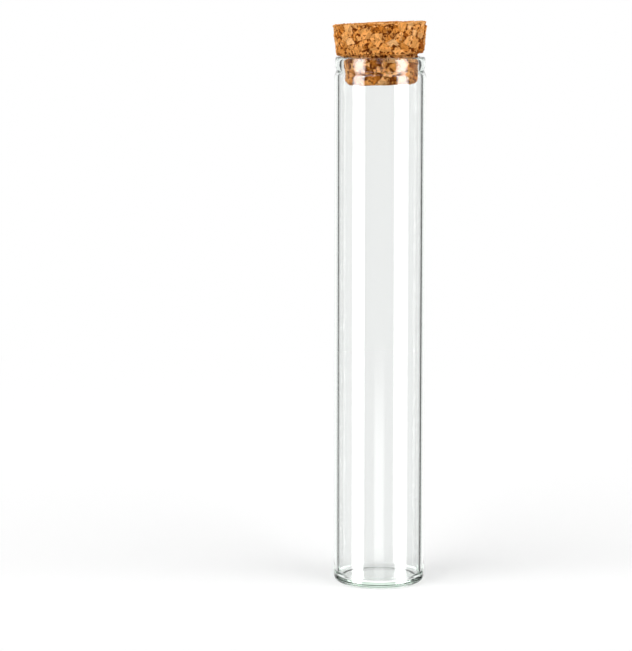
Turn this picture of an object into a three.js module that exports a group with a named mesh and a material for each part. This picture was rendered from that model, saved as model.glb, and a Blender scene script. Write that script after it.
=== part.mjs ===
// A flat-bottomed glass test tube, corked: a beaded glass tube and its T-shaped stopper of agglomerated cork.
// Millimetres, +Z up. The origin is the middle of the underside, on the tube's axis, so the tube stands on z = 0.
// Both pieces are turned shapes: each is a closed outline in the (radius, height) plane, swept round its axis.

import * as THREE from "three";

// ---- Driving dimensions ----

// Glass tube: the plain drawn body.
const tubeHeight = 145; // underside to the crest of the lip
const tubeDiameter = 25; // outside of the body
const wall = 1.25; // thickness of the body's wall
const baseThickness = 1.4; // thickness of the flat bottom
const baseOuterRounding = 1.6; // where the wall turns under
const baseInnerRounding = 2.0; // where the bore meets the bottom

// Glass tube: the mouth, drawn in a little and melted back to a thick rounded bead.
const lipInset = 0.2; // how far the outside of the bead lies inside the outside of the body
const lipThickness = 1.7; // through the bead, from its outside to the mouth
const lipHeight = 3.5; // crest to the crease under the bead
const lipEdge = 0.7; // rounding of the crest's inner and outer edge
const creaseDepth = 0.35; // how far the crease under the bead goes in
const shoulderHeight = 2; // over this the body draws in from its full diameter to the crease

// Cork stopper: a wide tapered head over a short tapered plug.
const headOverhang = 0.5; // how far the top of the head stands out past the lip
const headTaper = 0.65; // what the head's radius loses from its top to its underside
const headHeight = 8.6;
const headTopRounding = 0.4;
const headBottomRounding = 0.8;
const plugLength = 8; // underside of the head to the end of the plug
const plugTaper = 0.25; // what the plug's radius loses over its length
const plugEndRounding = 1.5;

// How the stopper sits: pushed in by hand, loose and a little crooked.
const mouthClearance = 0.4; // between the thick end of the plug and the mouth, all round when centred
const stopperShift = 0.18; // how far the plug lies off the tube's axis, towards +X
const stopperTilt = 2.3; // degrees the head leans towards -X
const seatGap = 0.05; // between the head's low side and the crest of the lip

// How finely the round shapes are cut.
const turnSides = 72; // flats round each turned piece
const cornerSteps = 3; // chords in a quarter-round corner
const blendSteps = 3; // chords in a smooth change of radius

// ---- Radii that both pieces share ----

const bodyRadius = tubeDiameter / 2;
const boreRadius = bodyRadius - wall;
const lipRadius = bodyRadius - lipInset;
const mouthRadius = lipRadius - lipThickness;

// ---- Outlines ----

const point = (radius, height) => new THREE.Vector2(radius, height);

// A round corner: an arc about (radius, height) from one angle to the other, in degrees, 0 pointing outwards.
function arc(radius, height, rounding, fromAngle, toAngle) {
  const points = [];
  for (let step = 0; step <= cornerSteps; step++) {
    const angle = THREE.MathUtils.degToRad(THREE.MathUtils.lerp(fromAngle, toAngle, step / cornerSteps));
    points.push(point(radius + rounding * Math.cos(angle), height + rounding * Math.sin(angle)));
  }
  return points;
}

// A smooth change of radius between two heights, straight along the axis at both of its ends.
function blend(fromRadius, fromHeight, toRadius, toHeight) {
  const points = [];
  for (let step = 0; step <= blendSteps; step++) {
    const share = step / blendSteps;
    const eased = (1 - Math.cos(Math.PI * share)) / 2;
    points.push(
      point(THREE.MathUtils.lerp(fromRadius, toRadius, eased), THREE.MathUtils.lerp(fromHeight, toHeight, share)),
    );
  }
  return points;
}

// Turns an outline round the Z axis. It runs from the axis, up the outside, and back to the axis.
function turned(outline) {
  return new THREE.LatheGeometry(outline, turnSides).rotateX(Math.PI / 2);
}

// ---- Glass tube ----

function glassTube() {
  const creaseHeight = tubeHeight - lipHeight;
  const shoulderFoot = creaseHeight - shoulderHeight;
  const crestHeight = tubeHeight - lipEdge;
  const outline = [
    point(0, 0),
    ...arc(bodyRadius - baseOuterRounding, baseOuterRounding, baseOuterRounding, -90, 0),
    ...blend(bodyRadius, shoulderFoot, lipRadius - creaseDepth, creaseHeight),
    ...arc(lipRadius - creaseDepth, creaseHeight + creaseDepth, creaseDepth, -45, 0),
    ...arc(lipRadius - lipEdge, crestHeight, lipEdge, 0, 90),
    ...arc(mouthRadius + lipEdge, crestHeight, lipEdge, 90, 180),
    ...blend(mouthRadius, creaseHeight, boreRadius, shoulderFoot),
    ...arc(boreRadius - baseInnerRounding, baseThickness + baseInnerRounding, baseInnerRounding, 0, -90),
    point(0, baseThickness),
  ];
  const clearGlass = new THREE.MeshStandardMaterial({
    color: 0xe9f0ea,
    roughness: 0.05,
    metalness: 0,
    transparent: true,
    opacity: 0.35,
  });
  const tube = new THREE.Mesh(turned(outline), clearGlass);
  tube.name = "glass_tube";
  return tube;
}

// ---- Cork stopper ----

// Turned about its own axis, with the underside of its head at height 0.
function corkStopper() {
  const headRadius = lipRadius + headOverhang;
  const plugRadius = mouthRadius - mouthClearance;
  const outline = [
    point(0, -plugLength),
    ...arc(plugRadius - plugTaper - plugEndRounding, plugEndRounding - plugLength, plugEndRounding, -90, 0),
    point(plugRadius, 0),
    ...arc(headRadius - headTaper - headBottomRounding, headBottomRounding, headBottomRounding, -90, 0),
    ...arc(headRadius - headTopRounding, headHeight - headTopRounding, headTopRounding, 0, 90),
    point(0, headHeight),
  ];
  const agglomeratedCork = new THREE.MeshStandardMaterial({
    color: 0xc08a52,
    roughness: 0.9,
    metalness: 0,
  });
  const stopper = new THREE.Mesh(turned(outline), agglomeratedCork);
  stopper.name = "cork_stopper";
  return stopper;
}

// ---- Assembly ----

// The low side of the leaning head comes down on the middle of the lip's crest.
function seatStopper(stopper) {
  const lean = THREE.MathUtils.degToRad(stopperTilt);
  const crestRadius = (lipRadius + mouthRadius) / 2;
  stopper.rotation.y = -lean;
  stopper.position.x = stopperShift;
  stopper.position.z = tubeHeight + seatGap + (crestRadius + stopperShift) * Math.tan(lean);
  return stopper;
}

const testTube = new THREE.Group();
testTube.add(glassTube());
testTube.add(seatStopper(corkStopper()));

export default testTube;
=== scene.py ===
import math

import bmesh
import bpy
from mathutils import Matrix, Vector


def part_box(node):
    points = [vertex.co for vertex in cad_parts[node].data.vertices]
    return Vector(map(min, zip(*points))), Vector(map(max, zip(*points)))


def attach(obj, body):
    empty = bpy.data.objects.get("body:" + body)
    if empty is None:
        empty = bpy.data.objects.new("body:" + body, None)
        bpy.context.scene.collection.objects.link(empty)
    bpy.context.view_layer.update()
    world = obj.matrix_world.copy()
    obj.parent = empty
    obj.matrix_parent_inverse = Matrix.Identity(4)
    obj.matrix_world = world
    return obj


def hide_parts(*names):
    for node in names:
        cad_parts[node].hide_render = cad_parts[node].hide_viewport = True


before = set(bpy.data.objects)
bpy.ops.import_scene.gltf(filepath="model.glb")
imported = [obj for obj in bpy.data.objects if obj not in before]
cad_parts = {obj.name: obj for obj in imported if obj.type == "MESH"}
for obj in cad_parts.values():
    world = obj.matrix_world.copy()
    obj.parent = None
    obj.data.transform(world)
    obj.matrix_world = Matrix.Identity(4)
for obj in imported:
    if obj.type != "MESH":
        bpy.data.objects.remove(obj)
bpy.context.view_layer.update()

MM = 0.001

# ---------------------------------------------------------------- sizes, in metres
# The tube's width and height come from the frame, and the rest hangs on them.
glass_low, glass_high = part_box("glass_tube")
TUBE_RADIUS = (glass_high.x - glass_low.x) / 2
TUBE_HEIGHT = glass_high.z - glass_low.z

BORE_RADIUS = 0.9 * TUBE_RADIUS
BASE_THICKNESS = 1.4 * MM
BASE_OUTER_ROUNDING = 1.6 * MM
BASE_INNER_ROUNDING = 2.0 * MM
LIP_RADIUS = TUBE_RADIUS - 0.2 * MM
MOUTH_RADIUS = LIP_RADIUS - 1.7 * MM
LIP_FOOT = TUBE_HEIGHT - 3.5 * MM
CREASE_DEPTH = 0.35 * MM
SHOULDER_FOOT = LIP_FOOT - 2 * MM

HEAD_RADIUS = TUBE_RADIUS + 0.3 * MM
HEAD_TAPER = 0.65 * MM
HEAD_HEIGHT = 8.6 * MM
HEAD_TOP_ROUNDING = 0.4 * MM
HEAD_BOTTOM_ROUNDING = 0.8 * MM
PLUG_LENGTH = 8 * MM
PLUG_TOP_RADIUS = MOUTH_RADIUS - 0.4 * MM
PLUG_TAPER = 0.25 * MM
PLUG_END_ROUNDING = 1.5 * MM
STOPPER_SHIFT = 0.18 * MM
STOPPER_LEAN = math.radians(2.3)
SEAT_GAP = 0.05 * MM

GLASS_SIDES = 288
GLASS_STEP = 2.5 * MM
CORK_SIDES = 460
CORK_STEP = 0.21 * MM

# ---------------------------------------------------------------- looks
# The lens, its sensor, and where the camera stands and aims, in millimetres.
LENS = 152.2
SENSOR = 36
CAMERA_SIDE = -17.45
CAMERA_DISTANCE = 750
CAMERA_HEIGHT = 172
AIM_HEIGHT = 71.36

GLASS_IOR = 1.5
GLASS_BODY_COLOUR = (0.78, 0.95, 0.84, 1)
GLASS_BODY_DENSITY = 42.0

# The cork pattern's scales are cells or waves per millimetre.
GRANULES_PER_MM = 0.36
FRAGMENTS_PER_MM = 0.85
CHIPS_PER_MM = 1.1
CHIP_STRETCH = (0.35, 0.8, 1.5)
STREAK_STRETCH = (0.5, 0.9, 3.4)
GRANULE_FLATNESS = (1.0, 1.0, 1.3)
CORK_TONES = [
    (0.10, (0.34, 0.088, 0.007)),
    (0.30, (0.54, 0.178, 0.022)),
    (0.50, (0.73, 0.290, 0.060)),
    (0.70, (0.86, 0.395, 0.118)),
    (0.92, (0.94, 0.520, 0.215)),
]
CORK_DARK = (0.16, 0.034, 0.002, 1)

# Heights of the cork's relief, in millimetres.
GRANULE_HEIGHT = 0.14
CHIP_HEIGHT = 0.08
GRANULE_SLOPE = 0.26
FRAGMENT_SLOPE = 0.34
GAP_DEPTH = 0.28
PIT_DEPTH = 0.45
GRAIN_HEIGHT = 0.06
RELIEF_SINK = 0.24

# The floor fades into the white background between two distances from the tube, in metres.
FLOOR_DROP = 0.02 * MM
FLOOR_SIZE = 4.0
FLOOR_GREY = (0.86, 0.86, 0.86, 1)
FLOOR_GLOW = 0.16
FLOOR_FADE_START = 0.12
FLOOR_FADE_END = 0.45

# Each lamp's name, its azimuth from the front in degrees and its strength.
LAMPS = (("lamp_left", -50, 1.3), ("lamp_right", 55, 1.0))
LAMP_ELEVATION = math.radians(42)
LAMP_ANGLE = math.radians(50)

# Brightness of the world, for light that bounces off paint and for what the glass mirrors.
FILL = 0.5
FILL_THROUGH_GLASS = 1.65
PANEL_LIGHT = 9.0
SIDE_WALL_LIGHT = 0.3
DARK_STUDIO_LIGHT = 0.02
LOW_LIGHT = 0.8
HIGH_LIGHT = 0.7
MIRROR_LIMIT = 12


# ---------------------------------------------------------------- camera
def add_camera():
    """A long lens slightly above the lip, with the tube right of the middle of the frame."""
    data = bpy.data.cameras.new("camera")
    data.sensor_width = SENSOR
    data.lens = LENS
    camera = bpy.data.objects.new("camera", data)
    bpy.context.scene.collection.objects.link(camera)
    target = Vector((CAMERA_SIDE, 0, AIM_HEIGHT)) * MM
    camera.location = Vector((CAMERA_SIDE, -CAMERA_DISTANCE, CAMERA_HEIGHT)) * MM
    camera.rotation_mode = "QUATERNION"
    camera.rotation_quaternion = (target - camera.location).to_track_quat("-Z", "Y")
    bpy.context.scene.camera = camera


# ---------------------------------------------------------------- outlines and turned meshes
def arc(centre_r, centre_z, radius, start, end, steps):
    """Points of an arc in the (r, z) half plane, angles in degrees."""
    points = []
    for i in range(steps + 1):
        angle = math.radians(start + (end - start) * i / steps)
        points.append((centre_r + radius * math.cos(angle), centre_z + radius * math.sin(angle)))
    return points


def blend(start, end, steps):
    """Points of an S-shaped step in radius between two (r, z) points."""
    points = []
    for i in range(steps + 1):
        t = i / steps
        ease = t * t * (3 - 2 * t)
        points.append((start[0] + (end[0] - start[0]) * ease, start[1] + (end[1] - start[1]) * t))
    return points


def resampled(outline, step):
    """The outline with points no further apart than step."""
    points = [outline[0]]
    for (r0, z0), (r1, z1) in zip(outline, outline[1:]):
        length = math.hypot(r1 - r0, z1 - z0)
        count = max(1, round(length / step))
        for i in range(1, count + 1):
            points.append((r0 + (r1 - r0) * i / count, z0 + (z1 - z0) * i / count))
    return points


def turned(name, outline, sides):
    """A closed smooth mesh turned from an outline that starts and ends on the axis."""
    made = bmesh.new()
    first = made.verts.new((0, 0, outline[0][1]))
    last = made.verts.new((0, 0, outline[-1][1]))
    rings = []
    for r, z in outline[1:-1]:
        ring = []
        for i in range(sides):
            angle = math.tau * i / sides
            ring.append(made.verts.new((r * math.cos(angle), r * math.sin(angle), z)))
        rings.append(ring)
    for i in range(sides):
        j = (i + 1) % sides
        made.faces.new((first, rings[0][j], rings[0][i]))
        made.faces.new((last, rings[-1][i], rings[-1][j]))
        for low, high in zip(rings, rings[1:]):
            made.faces.new((low[i], low[j], high[j], high[i]))
    for face in made.faces:
        face.smooth = True
    mesh = bpy.data.meshes.new(name)
    made.to_mesh(mesh)
    made.free()
    piece = bpy.data.objects.new(name, mesh)
    bpy.context.scene.collection.objects.link(piece)
    return piece


# ---------------------------------------------------------------- node helpers
class Nodes:
    """Short ways to add nodes to a shader or geometry tree; inputs may be values or sockets."""

    def __init__(self, tree):
        self.tree = tree

    def add(self, kind, inputs=None, **settings):
        node = self.tree.nodes.new(kind)
        for key, value in settings.items():
            setattr(node, key, value)
        for key, value in (inputs or {}).items():
            if isinstance(value, bpy.types.NodeSocket):
                self.tree.links.new(value, node.inputs[key])
            else:
                node.inputs[key].default_value = value
        return node

    def math(self, operation, a, b=0.0):
        """One number from one or two numbers."""
        return self.add("ShaderNodeMath", {0: a, 1: b}, operation=operation).outputs[0]

    def vector(self, operation, a, b=(0, 0, 0)):
        """A vector from one or two vectors, or a number where the operation gives one."""
        node = self.add("ShaderNodeVectorMath", {0: a, 1: b}, operation=operation)
        return node.outputs["Value" if operation in ("DOT_PRODUCT", "LENGTH") else "Vector"]

    def scaled(self, vector, scale):
        """A vector or colour times a number."""
        inputs = {"Vector": vector, "Scale": scale}
        return self.add("ShaderNodeVectorMath", inputs, operation="SCALE").outputs["Vector"]

    def rise(self, value, low, high, out_low=0.0, out_high=1.0):
        """A smooth rise from out_low to out_high as value goes from low to high."""
        inputs = {"Value": value, 1: low, 2: high, 3: out_low, 4: out_high}
        return self.add("ShaderNodeMapRange", inputs, interpolation_type="SMOOTHSTEP").outputs[0]

    def band(self, value, low, high, soft):
        """1 between low and high and 0 outside, with soft sides."""
        up = self.rise(value, low - soft / 2, low + soft / 2)
        down = self.rise(value, high - soft / 2, high + soft / 2, 1.0, 0.0)
        return self.math("MULTIPLY", up, down)

    def noise(self, vector, scale, detail, roughness):
        """A noise texture's node."""
        inputs = {"Vector": vector, "Scale": scale, "Detail": detail, "Roughness": roughness}
        return self.add("ShaderNodeTexNoise", inputs)

    def voronoi(self, vector, scale, feature="F1"):
        """A Voronoi texture's node."""
        inputs = {"Vector": vector, "Scale": scale}
        return self.add("ShaderNodeTexVoronoi", inputs, feature=feature)

    def mix(self, factor, a, b):
        """A colour between a and b."""
        node = self.add("ShaderNodeMix", data_type="RGBA")
        for socket, value in ((node.inputs[0], factor), (node.inputs[6], a), (node.inputs[7], b)):
            if isinstance(value, bpy.types.NodeSocket):
                self.tree.links.new(value, socket)
            else:
                socket.default_value = value
        return node.outputs[2]

    def ramp(self, value, stops):
        """A colour ramp through (position, colour) stops."""
        node = self.add("ShaderNodeValToRGB", {0: value})
        elements = node.color_ramp.elements
        while len(elements) < len(stops):
            elements.new(0.5)
        for element, (position, colour) in zip(elements, stops):
            element.position = position
            element.color = (*colour, 1)
        return node.outputs["Color"]


def new_material(name):
    """An empty material and its node tree's helper."""
    material = bpy.data.materials.new(name)
    material.use_nodes = True
    material.node_tree.nodes.clear()
    return material, Nodes(material.node_tree)


# ---------------------------------------------------------------- glass tube
def bead_side():
    """The melted rim: a nearly square bead with rounded corners, from the crease over the crest and
    down to the mouth."""
    points = []
    middle = (LIP_RADIUS + MOUTH_RADIUS) / 2
    half = (LIP_RADIUS - MOUTH_RADIUS) / 2
    steps = 40
    for i in range(1, steps):
        turn = math.pi * i / steps
        out = math.copysign(abs(math.cos(turn)) ** 0.36, math.cos(turn))
        up = math.sin(turn) ** 0.5
        points.append((middle + half * out, LIP_FOOT + (TUBE_HEIGHT - LIP_FOOT) * up))
    return points


def glass_outline():
    """Outer foot, wall, bead, mouth, bore and inner floor of the tube."""
    points = [(0, 0)]
    points += arc(
        TUBE_RADIUS - BASE_OUTER_ROUNDING, BASE_OUTER_ROUNDING,
        BASE_OUTER_ROUNDING, -90, 0, 12,
    )
    crease_radius = LIP_RADIUS - CREASE_DEPTH
    points += blend((TUBE_RADIUS, SHOULDER_FOOT), (crease_radius, LIP_FOOT), 12)
    points += bead_side()
    points += blend((MOUTH_RADIUS, LIP_FOOT), (BORE_RADIUS, SHOULDER_FOOT), 12)
    points += arc(
        BORE_RADIUS - BASE_INNER_ROUNDING, BASE_THICKNESS + BASE_INNER_ROUNDING,
        BASE_INNER_ROUNDING, 0, -90, 12,
    )
    points.append((0, BASE_THICKNESS))
    return points


def glass_material():
    """Clear glass with a faint green body colour."""
    material, nodes = new_material("clear_glass")
    shader = nodes.add("ShaderNodeBsdfPrincipled", {
        "Base Color": (1, 1, 1, 1),
        "Roughness": 0.0,
        "IOR": GLASS_IOR,
        "Transmission Weight": 1.0,
    })
    body = nodes.add("ShaderNodeVolumeAbsorption", {
        "Color": GLASS_BODY_COLOUR,
        "Density": GLASS_BODY_DENSITY,
    })
    output = nodes.add("ShaderNodeOutputMaterial")
    nodes.tree.links.new(shader.outputs[0], output.inputs["Surface"])
    nodes.tree.links.new(body.outputs[0], output.inputs["Volume"])
    return material


def add_glass():
    """The whole glass tube as one turned piece."""
    piece = turned("glass_body", resampled(glass_outline(), GLASS_STEP), GLASS_SIDES)
    piece.data.materials.append(glass_material())
    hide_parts("glass_tube")
    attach(piece, "tube")


# ---------------------------------------------------------------- cork stopper
def cork_outline():
    """Plug end, plug side, underside of the head, head side and top, with the underside at z = 0."""
    plug_end_radius = PLUG_TOP_RADIUS - PLUG_TAPER
    head_bottom_radius = HEAD_RADIUS - HEAD_TAPER
    points = [(0, -PLUG_LENGTH)]
    points += arc(
        plug_end_radius - PLUG_END_ROUNDING, PLUG_END_ROUNDING - PLUG_LENGTH,
        PLUG_END_ROUNDING, -90, 0, 8,
    )
    points.append((PLUG_TOP_RADIUS, 0))
    points += arc(
        head_bottom_radius - HEAD_BOTTOM_ROUNDING, HEAD_BOTTOM_ROUNDING,
        HEAD_BOTTOM_ROUNDING, -90, 0, 6,
    )
    points += arc(
        HEAD_RADIUS - HEAD_TOP_ROUNDING, HEAD_HEIGHT - HEAD_TOP_ROUNDING,
        HEAD_TOP_ROUNDING, 0, 90, 4,
    )
    points.append((0, HEAD_HEIGHT))
    return points


def cork_fields(nodes, position):
    """The granule pattern, from the position in metres: it drives both the relief and the paint.

    Some granules are whole flakes, the others are crumbled into fragments with cracks and pits
    between them. Each granule is split into chips that follow its own grain."""
    unit = nodes.scaled(position, 1 / MM)
    wander = nodes.noise(unit, 2.2, 3.0, 0.6).outputs["Color"]
    wander = nodes.vector("SUBTRACT", wander, (0.5, 0.5, 0.5))
    bent = nodes.vector("ADD", unit, nodes.scaled(wander, 0.4))
    flat = nodes.vector("MULTIPLY", bent, GRANULE_FLATNESS)
    granule = nodes.voronoi(flat, GRANULES_PER_MM)
    gap = nodes.voronoi(flat, GRANULES_PER_MM, "DISTANCE_TO_EDGE").outputs["Distance"]
    fragment = nodes.voronoi(bent, FRAGMENTS_PER_MM)
    crack = nodes.voronoi(bent, FRAGMENTS_PER_MM, "DISTANCE_TO_EDGE").outputs["Distance"]
    whole = nodes.vector("DOT_PRODUCT", granule.outputs["Color"], (0, 0, 1))
    whole = nodes.rise(whole, 0.34, 0.46)
    crumbled = nodes.math("SUBTRACT", 1.0, nodes.math("MULTIPLY", whole, 0.85))

    grain_way = nodes.add("ShaderNodeVectorRotate", {
        "Vector": unit,
        "Rotation": nodes.scaled(granule.outputs["Color"], math.tau),
    }, rotation_type="EULER_XYZ").outputs[0]
    chip_place = nodes.vector("MULTIPLY", grain_way, CHIP_STRETCH)
    chip = nodes.voronoi(chip_place, CHIPS_PER_MM).outputs["Color"]

    # Gaps between granules and cracks between fragments open wide in some places only.
    open_here = nodes.noise(unit, 1.1, 2.0, 0.55).outputs[0]
    gap_width = nodes.rise(open_here, 0.47, 0.66, 0.006, 0.26)
    gap_mask = nodes.math("SUBTRACT", 1.0, nodes.math("DIVIDE", gap, gap_width))
    gap_mask = nodes.math("MAXIMUM", gap_mask, 0.0)
    crack_width = nodes.rise(open_here, 0.50, 0.68, 0.002, 0.32)
    crack_mask = nodes.math("SUBTRACT", 1.0, nodes.math("DIVIDE", crack, crack_width))
    crack_mask = nodes.math("MULTIPLY", nodes.math("MAXIMUM", crack_mask, 0.0), crumbled)

    # Pits lie anywhere, more of them in crumbled granules and along the head's lower edge; those
    # along the lower edge are sunk and painted dark, partly real pits and partly painted shade under
    # the head.
    holes_and_underside_shade = nodes.noise(bent, 1.5, 2.5, 0.6).outputs[0]
    level = nodes.add("ShaderNodeSeparateXYZ", {0: unit}).outputs["Z"]
    # Painted shade: more dark pits in a band round the head's lower edge.
    underside_pits_and_shade = nodes.math("MULTIPLY", nodes.band(level, -0.3, 0.9, 0.8), 0.11)
    loose = nodes.math("MULTIPLY", nodes.math("SUBTRACT", crumbled, 0.5), 0.07)
    holes_and_underside_shade = nodes.math("ADD", holes_and_underside_shade, nodes.math("ADD", underside_pits_and_shade, loose))

    # Each granule and each fragment has a face that slopes its own way.
    centre = nodes.vector("SUBTRACT", flat, granule.outputs["Position"])
    facing = nodes.vector("SUBTRACT", granule.outputs["Color"], (0.5, 0.5, 0.5))
    small_centre = nodes.vector("SUBTRACT", bent, fragment.outputs["Position"])
    small_facing = nodes.vector("SUBTRACT", fragment.outputs["Color"], (0.5, 0.5, 0.5))
    small_slope = nodes.vector("DOT_PRODUCT", small_centre, small_facing)
    return {
        "unit": unit,
        "granule": granule.outputs["Color"],
        "fragment": fragment.outputs["Color"],
        "grain_way": grain_way,
        "chip": nodes.vector("DOT_PRODUCT", chip, (0, 0, 1)),
        "whole": whole,
        "crumbled": crumbled,
        "gap": nodes.math("MAXIMUM", gap_mask, crack_mask),
        "pits_and_underside_shade": nodes.rise(holes_and_underside_shade, 0.61, 0.66),
        "slope": nodes.vector("DOT_PRODUCT", centre, facing),
        "small_slope": nodes.math("MULTIPLY", small_slope, crumbled),
    }


def relief_tree():
    """Geometry nodes that sink gaps and pits and set granules and chips a little high or low."""
    tree = bpy.data.node_groups.new("cork_relief", "GeometryNodeTree")
    tree.interface.new_socket("Geometry", in_out="INPUT", socket_type="NodeSocketGeometry")
    tree.interface.new_socket("Geometry", in_out="OUTPUT", socket_type="NodeSocketGeometry")
    nodes = Nodes(tree)
    source = nodes.add("NodeGroupInput")
    position = nodes.add("GeometryNodeInputPosition").outputs[0]
    normal = nodes.add("GeometryNodeInputNormal").outputs[0]
    fields = cork_fields(nodes, position)
    height = nodes.vector("DOT_PRODUCT", fields["granule"], (GRANULE_HEIGHT, 0, 0))
    height = nodes.math("SUBTRACT", height, RELIEF_SINK)
    grain = nodes.noise(fields["unit"], 3.0, 2.0, 0.6).outputs[0]
    for field, size in (
        (fields["chip"], CHIP_HEIGHT),
        (fields["slope"], GRANULE_SLOPE),
        (fields["small_slope"], FRAGMENT_SLOPE),
        (fields["gap"], -GAP_DEPTH),
        (fields["pits_and_underside_shade"], -PIT_DEPTH),
        (grain, GRAIN_HEIGHT),
    ):
        height = nodes.math("ADD", height, nodes.math("MULTIPLY", field, size))
    offset = nodes.scaled(normal, nodes.math("MULTIPLY", height, MM))
    moved = nodes.add("GeometryNodeSetPosition", {"Geometry": source.outputs[0], "Offset": offset})
    target = nodes.add("NodeGroupOutput")
    tree.links.new(moved.outputs[0], target.inputs[0])
    return tree


def apply_modifiers(piece):
    """Turns the piece's mesh into what its modifiers make of it."""
    graph = bpy.context.evaluated_depsgraph_get()
    piece.data = bpy.data.meshes.new_from_object(piece.evaluated_get(graph))
    piece.modifiers.clear()


def cork_material():
    """Agglomerated cork: tan and orange-brown granules, dark gaps and pits, chips and streaks, with
    extra dark pits along the head's lower edge as painted shade.
    """
    material, nodes = new_material("agglomerated_cork")
    rest = nodes.add("ShaderNodeAttribute", attribute_name="cork_rest").outputs["Vector"]
    fields = cork_fields(nodes, rest)
    shade = nodes.vector("DOT_PRODUCT", fields["granule"], (0.42, 0, 0))
    part = nodes.vector("DOT_PRODUCT", fields["fragment"], (0, 0.55, 0))
    part = nodes.math("MULTIPLY", part, fields["crumbled"])
    lift = nodes.math("SUBTRACT", nodes.math("MULTIPLY", fields["whole"], 0.50), 0.10)
    value = nodes.math("ADD", shade, nodes.math("ADD", part, lift))
    colour = nodes.ramp(value, CORK_TONES)
    streak_place = nodes.vector("MULTIPLY", fields["grain_way"], STREAK_STRETCH)
    streak = nodes.noise(streak_place, 1.2, 3.0, 0.6).outputs[0]
    colour = nodes.scaled(colour, nodes.rise(streak, 0.30, 0.66, 0.78, 1.15))
    colour = nodes.scaled(colour, nodes.rise(fields["chip"], 0.1, 0.9, 0.78, 1.15))
    freckle = nodes.noise(fields["unit"], 5.0, 2.0, 0.7).outputs[0]
    colour = nodes.scaled(colour, nodes.rise(freckle, 0.3, 0.7, 0.88, 1.1))
    # Gaps and pits are painted dark; along the head's lower edge this darkening is partly painted
    # shade.
    dark = nodes.math("MAXIMUM", nodes.rise(fields["gap"], 0.1, 0.85), fields["pits_and_underside_shade"])
    colour = nodes.mix(dark, colour, CORK_DARK)
    rough = nodes.rise(freckle, 0.3, 0.7, 0.75, 0.92)
    fine = nodes.noise(fields["unit"], 7.0, 3.0, 0.7).outputs[0]
    bump_height = nodes.math("MULTIPLY", fine, GRAIN_HEIGHT)
    bump = nodes.add("ShaderNodeBump", {"Height": bump_height, "Distance": MM, "Strength": 0.6})
    shader = nodes.add("ShaderNodeBsdfPrincipled", {
        "Base Color": colour,
        "Roughness": rough,
        "Normal": bump.outputs[0],
        "Specular IOR Level": 0.08,
    })
    output = nodes.add("ShaderNodeOutputMaterial")
    nodes.tree.links.new(shader.outputs[0], output.inputs["Surface"])
    return material


def keep_rest_positions(mesh):
    """Stores where each vertex is before the relief, so that the paint follows the same granules."""
    rest = mesh.attributes.new("cork_rest", "FLOAT_VECTOR", "POINT")
    for vertex in mesh.vertices:
        rest.data[vertex.index].vector = vertex.co


def add_cork():
    """The stopper as one turned piece with relief, leaning on the lip."""
    piece = turned("cork_body", resampled(cork_outline(), CORK_STEP), CORK_SIDES)
    keep_rest_positions(piece.data)
    relief = piece.modifiers.new("relief", "NODES")
    relief.node_group = relief_tree()
    apply_modifiers(piece)
    crest = (LIP_RADIUS + MOUTH_RADIUS) / 2
    height = TUBE_HEIGHT + SEAT_GAP + (crest + STOPPER_SHIFT) * math.tan(STOPPER_LEAN)
    place = Matrix.Translation((STOPPER_SHIFT, 0, height))
    piece.data.transform(place @ Matrix.Rotation(-STOPPER_LEAN, 4, "Y"))
    piece.data.materials.clear()
    piece.data.materials.append(cork_material())
    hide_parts("cork_stopper")
    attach(piece, "stopper")


# ---------------------------------------------------------------- floor, lamps and surroundings
def add_floor():
    """A plain white floor that keeps the object's shadow and fades into the white background.

    Light that the glass has mirrored passes through it, into the studio below."""
    made = bmesh.new()
    bmesh.ops.create_grid(made, x_segments=8, y_segments=8, size=FLOOR_SIZE)
    mesh = bpy.data.meshes.new("floor")
    made.to_mesh(mesh)
    made.free()
    floor = bpy.data.objects.new("floor", mesh)
    floor.location.z = -FLOOR_DROP
    bpy.context.scene.collection.objects.link(floor)
    material, nodes = new_material("white_floor")
    place = nodes.add("ShaderNodeTexCoord").outputs["Object"]
    away = nodes.rise(nodes.vector("LENGTH", place), FLOOR_FADE_START, FLOOR_FADE_END)
    path = nodes.add("ShaderNodeLightPath").outputs
    matt = nodes.add("ShaderNodeBsdfDiffuse", {"Color": FLOOR_GREY})
    glow = nodes.add("ShaderNodeEmission", {"Strength": FLOOR_GLOW})
    near = nodes.add("ShaderNodeAddShader", {0: matt.outputs[0], 1: glow.outputs[0]})
    white = nodes.add("ShaderNodeEmission", {"Strength": 1.0})
    seen = nodes.add("ShaderNodeMixShader", {0: away, 1: near.outputs[0], 2: white.outputs[0]})
    gone = nodes.add("ShaderNodeBsdfTransparent")
    mirrored = nodes.math("GREATER_THAN", path["Glossy Depth"], 0.5)
    both = nodes.add("ShaderNodeMixShader", {0: mirrored, 1: seen.outputs[0], 2: gone.outputs[0]})
    output = nodes.add("ShaderNodeOutputMaterial")
    nodes.tree.links.new(both.outputs[0], output.inputs["Surface"])
    mesh.materials.append(material)


def add_lamps():
    """Two wide soft lamps, from the front left and the front right."""
    side, rise = math.cos(LAMP_ELEVATION), math.sin(LAMP_ELEVATION)
    for name, azimuth, strength in LAMPS:
        data = bpy.data.lights.new(name, "SUN")
        data.energy = strength
        data.angle = LAMP_ANGLE
        lamp = bpy.data.objects.new(name, data)
        bpy.context.scene.collection.objects.link(lamp)
        turn = math.radians(azimuth)
        source = Vector((math.sin(turn) * side, -math.cos(turn) * side, rise))
        lamp.rotation_mode = "QUATERNION"
        lamp.rotation_quaternion = source.to_track_quat("Z", "Y")
        lamp.visible_glossy = False


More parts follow.
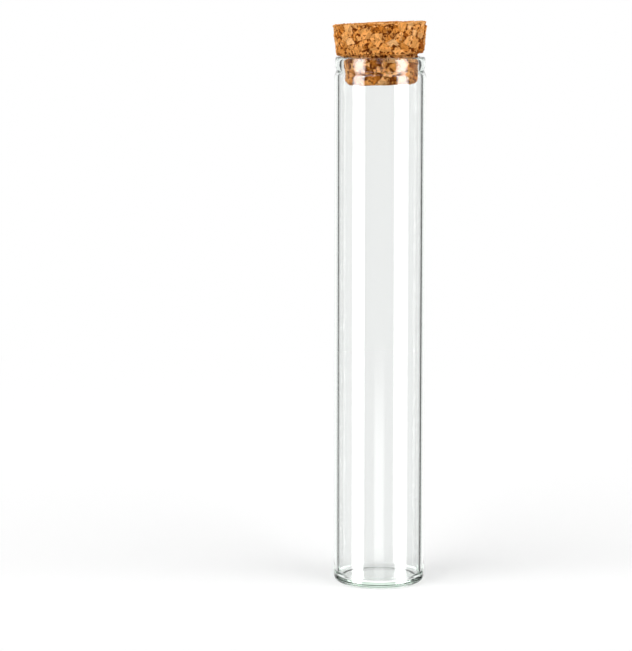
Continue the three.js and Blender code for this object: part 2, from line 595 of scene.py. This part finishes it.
def add_world():
    """White where it is looked at directly, soft fill for lighting, and a dark studio with two tall
    light panels for whatever the glass mirrors. All angles are in degrees."""
    world = bpy.data.worlds.new("studio")
    world.use_nodes = True
    world.node_tree.nodes.clear()
    bpy.context.scene.world = world
    nodes = Nodes(world.node_tree)
    direction = nodes.add("ShaderNodeTexCoord").outputs["Generated"]
    part = nodes.add("ShaderNodeSeparateXYZ", {0: direction}).outputs
    # turn is the angle round the tube from straight behind it, height the angle above the floor.
    turn = nodes.math("ARCTAN2", part["X"], part["Y"])
    turn = nodes.math("MULTIPLY", nodes.math("ABSOLUTE", turn), 180 / math.pi)
    height = nodes.math("MULTIPLY", nodes.math("ARCSINE", part["Z"]), 180 / math.pi)
    backdrop = nodes.band(turn, -9, 36, 4)
    side_walls = nodes.math("MULTIPLY", nodes.band(turn, 51, 99, 6), SIDE_WALL_LIGHT)
    panels = nodes.math("MULTIPLY", nodes.band(turn, 106, 136, 5), PANEL_LIGHT)
    panels = nodes.math("MULTIPLY", panels, nodes.band(height, -40, 35, 6))
    table = nodes.math("MULTIPLY", nodes.band(turn, 167, 190, 6), nodes.band(height, -60, -9, 3))
    low = nodes.rise(height, -50, -32, LOW_LIGHT, 0.0)
    high = nodes.rise(height, 34, 54, 0.0, HIGH_LIGHT)
    mirrored = nodes.math("ADD", backdrop, DARK_STUDIO_LIGHT)
    for light in (side_walls, panels, table, low, high):
        mirrored = nodes.math("ADD", mirrored, light)
    # Lamps don't shine through glass, so light that comes through it is stronger instead.
    path = nodes.add("ShaderNodeLightPath").outputs
    fill = nodes.rise(path["Is Transmission Ray"], 0.0, 1.0, FILL, FILL_THROUGH_GLASS)
    through = nodes.math("MAXIMUM", path["Is Transmission Ray"], path["Is Glossy Ray"])
    before_paint = nodes.math("LESS_THAN", path["Diffuse Depth"], 0.5)
    through = nodes.math("MULTIPLY", through, before_paint)
    bounced = nodes.math("GREATER_THAN", path["Glossy Depth"], 0.5)
    in_mirror = nodes.math("MULTIPLY", through, bounced)
    straight = nodes.math("MULTIPLY", through, nodes.math("SUBTRACT", 1.0, bounced))
    straight = nodes.math("MAXIMUM", straight, path["Is Camera Ray"])
    level = nodes.rise(in_mirror, 0.0, 1.0, fill, mirrored)
    level = nodes.rise(straight, 0.0, 1.0, level, 1.0)
    background = nodes.add("ShaderNodeBackground", {"Color": (1, 1, 1, 1), "Strength": level})
    output = nodes.add("ShaderNodeOutputWorld")
    nodes.tree.links.new(background.outputs[0], output.inputs["Surface"])


add_camera()
add_glass()
add_cork()
add_floor()
add_lamps()
add_world()
bpy.context.scene.view_settings.view_transform = "Standard"
# Light caught inside the rim and the foot is mirrored more often than the usual limit of 4.
bpy.context.scene.cycles.glossy_bounces = MIRROR_LIMIT
